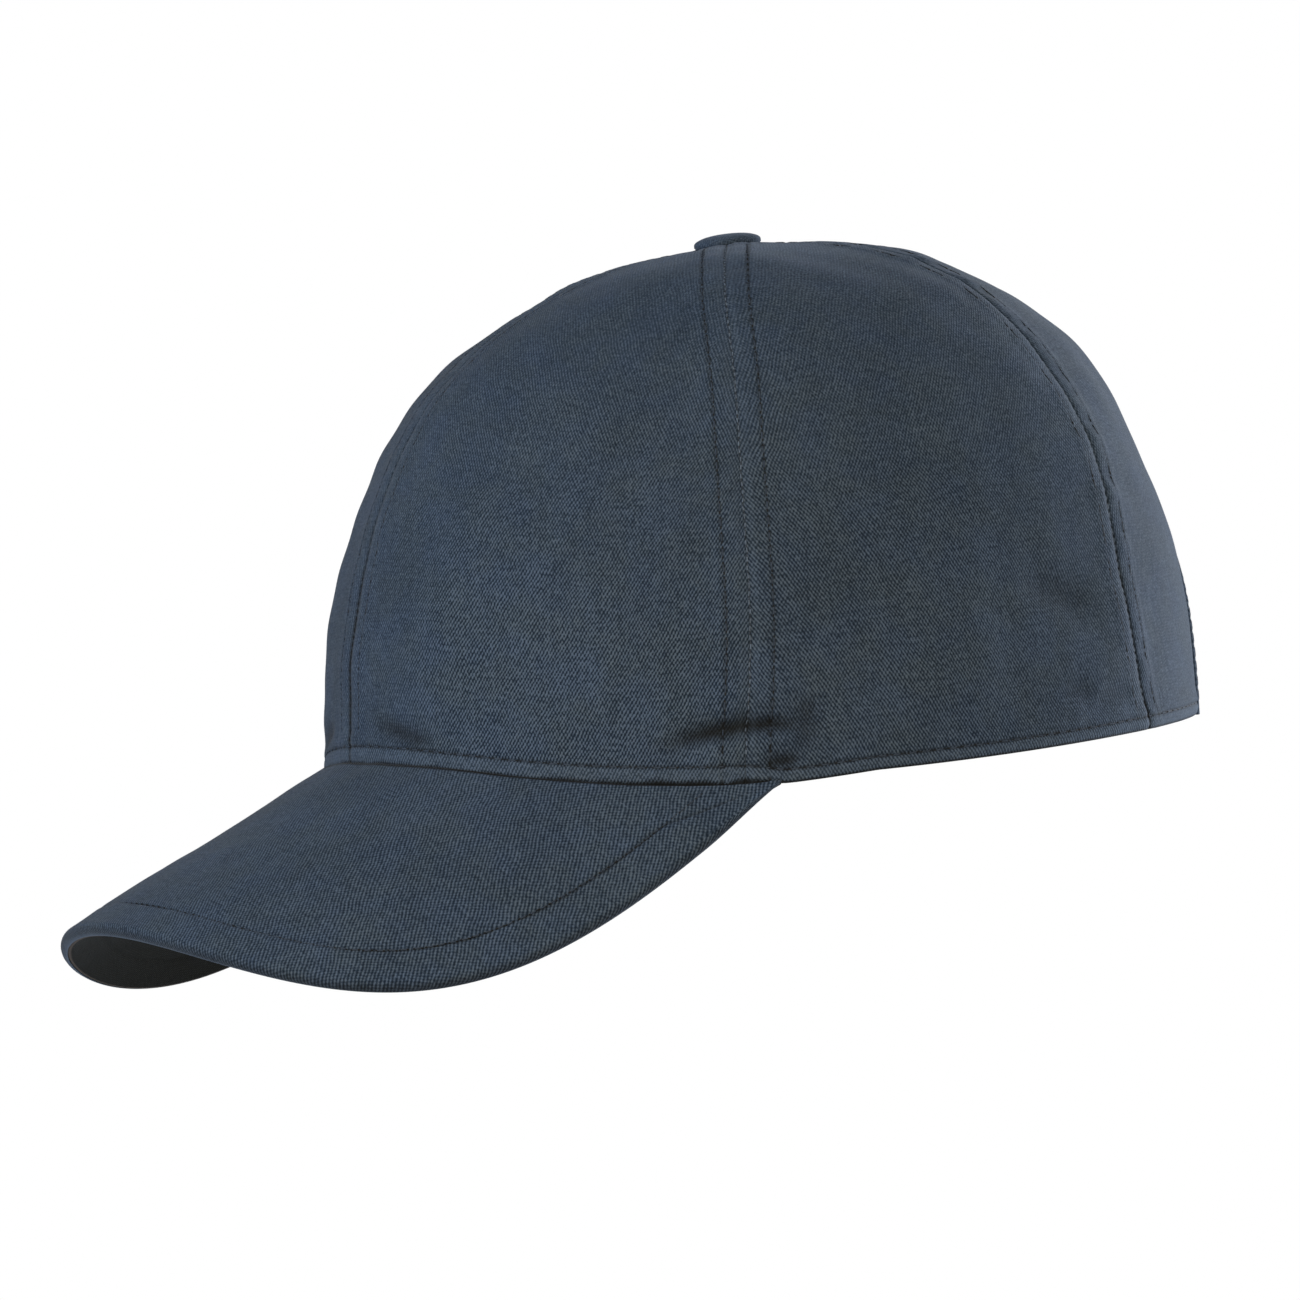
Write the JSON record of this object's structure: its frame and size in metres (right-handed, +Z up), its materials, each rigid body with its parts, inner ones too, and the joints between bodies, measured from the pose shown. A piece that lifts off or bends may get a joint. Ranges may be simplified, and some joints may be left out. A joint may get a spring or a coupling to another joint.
{
  "type": "baseball cap",
  "caption": "Adult six-panel cap in slate-blue linen canvas with a drooping curved visor, covered top button and a rear strap with a flip clasp.",
  "frame": {"origin": "middle of the head opening, in the plane of the lowest stretch of the hem at the sides", "axes": "+Z up towards the button, -Y forward along the visor, +X towards the wearer's left"},
  "size_m": [0.1738, 0.2669, 0.1626],
  "materials": {
    "crown_cloth": "matt slub canvas in slate navy",
    "visor_cloth": "matt slub canvas in slate navy",
    "lining_cloth": "matt near-black twill",
    "seam_tape": "matt black herringbone tape",
    "buckram": "stiffened open-weave cotton",
    "foam": "soft felted pad",
    "visor_board": "moulded polyethylene sheet",
    "clasp_metal": "aged satin brass",
    "button_metal": "plain satin steel"
  },
  "bodies": {
    "cap": {"front_panel_left": "crown_cloth", "front_panel_right": "crown_cloth", "side_panel_left": "crown_cloth", "side_panel_right": "crown_cloth", "rear_panel_left": "crown_cloth", "rear_panel_right": "crown_cloth", "front_buckram_left": "buckram", "front_buckram_right": "buckram", "seam_tape_front": "seam_tape", "seam_tape_front_left": "seam_tape", "seam_tape_front_right": "seam_tape", "seam_tape_rear_left": "seam_tape", "seam_tape_rear_right": "seam_tape", "seam_tape_rear": "seam_tape", "sweatband": "lining_cloth", "sweatband_pad": "foam", "opening_binding": "crown_cloth", "visor_top_cover": "visor_cloth", "visor_board": "visor_board", "visor_under_cover": "lining_cloth", "button_cover": "crown_cloth", "button_shell": "button_metal", "button_post": "button_metal", "button_tack": "button_metal", "adjuster_strap": "crown_cloth", "clasp_tab": "crown_cloth", "clasp_frame": "clasp_metal", "clasp_pin": "button_metal"},
    "lever": {"clasp_lever": "clasp_metal"}
  },
  "joints": [
    {"name": "clasp_lever_hinge", "type": "hinge", "parent": "cap", "child": "lever", "pos_m": [-0.02546, 0.09844, 0.0176], "axis": [0, 0, -1], "range_deg": [0, 100]}
  ]
}
